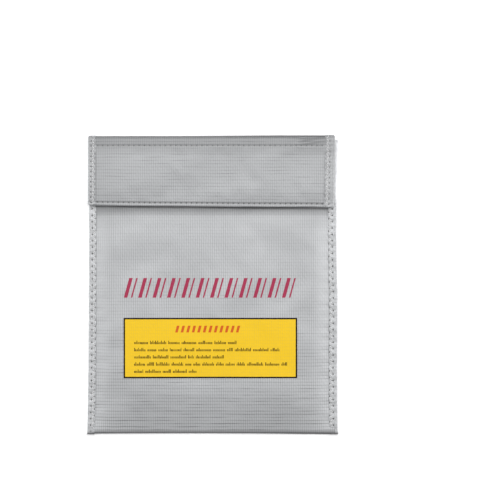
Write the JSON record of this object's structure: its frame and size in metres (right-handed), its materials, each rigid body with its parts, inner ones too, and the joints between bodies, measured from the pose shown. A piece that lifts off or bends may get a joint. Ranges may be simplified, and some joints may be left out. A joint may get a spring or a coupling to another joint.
{
  "type": "lipo battery safety bag",
  "caption": "Flat fire-resistant cloth envelope for charging and carrying lithium battery packs, with a folded-over flap that closes with hook-and-loop tape.",
  "frame": {"origin": "centre of the bag's back, on the surface it lies on", "axes": "+Z out of the front panel, +Y towards the top fold, +X to the right seen from the front"},
  "size_m": [0.184, 0.22, 0.0099],
  "materials": {
    "shell_fabric": "silver-coated glass-fibre weave, soft sheen",
    "lining_fabric": "plain glass-fibre weave, matt",
    "binding_fabric": "silver-coated glass-fibre weave, soft sheen",
    "thread": "spun thread",
    "loop_tape": "napped loop pile",
    "hook_tape": "moulded hooks on woven tape",
    "print_yellow": "screen-printed ink",
    "print_black": "screen-printed ink",
    "print_crimson": "screen-printed ink",
    "print_orange": "screen-printed ink"
  },
  "bodies": {
    "pocket": {"shell_cloth": "shell_fabric", "lining_cloth": "lining_fabric", "binding_left": "binding_fabric", "binding_right": "binding_fabric", "seam_stitching_left": "thread", "seam_stitching_right": "thread", "mouth_hem": "binding_fabric", "mouth_hem_stitching": "thread", "loop_strip": "loop_tape", "loop_strip_stitching": "thread", "print_panel": "print_yellow", "print_panel_border": "print_black", "print_heading_bars": "print_crimson", "print_panel_header": "print_orange", "print_panel_lines": "print_black"},
    "fold": {"fold_cloth": "shell_fabric", "fold_lining": "lining_fabric", "fold_binding_left": "binding_fabric", "fold_binding_right": "binding_fabric"},
    "flap": {"flap_cloth": "shell_fabric", "flap_facing": "lining_fabric", "flap_binding_left": "binding_fabric", "flap_binding_right": "binding_fabric", "flap_seam_stitching_left": "thread", "flap_seam_stitching_right": "thread", "flap_top_stitching": "thread", "flap_hem_stitching": "thread", "hook_strip": "hook_tape", "hook_strip_stitching": "thread"}
  },
  "joints": [
    {"name": "fold_hinge", "type": "hinge", "parent": "pocket", "child": "fold", "pos_m": [0, 0.1093, 0.0007], "axis": [-1, 0, 0], "range_deg": [0, 90]},
    {"name": "flap_hinge", "type": "hinge", "parent": "fold", "child": "flap", "pos_m": [0, 0.1093, 0.0092], "axis": [-1, 0, 0], "range_deg": [0, 90]}
  ],
  "couplings": [
    {"joint": "fold_hinge", "follows": "flap_hinge", "ratio": 1}
  ]
}
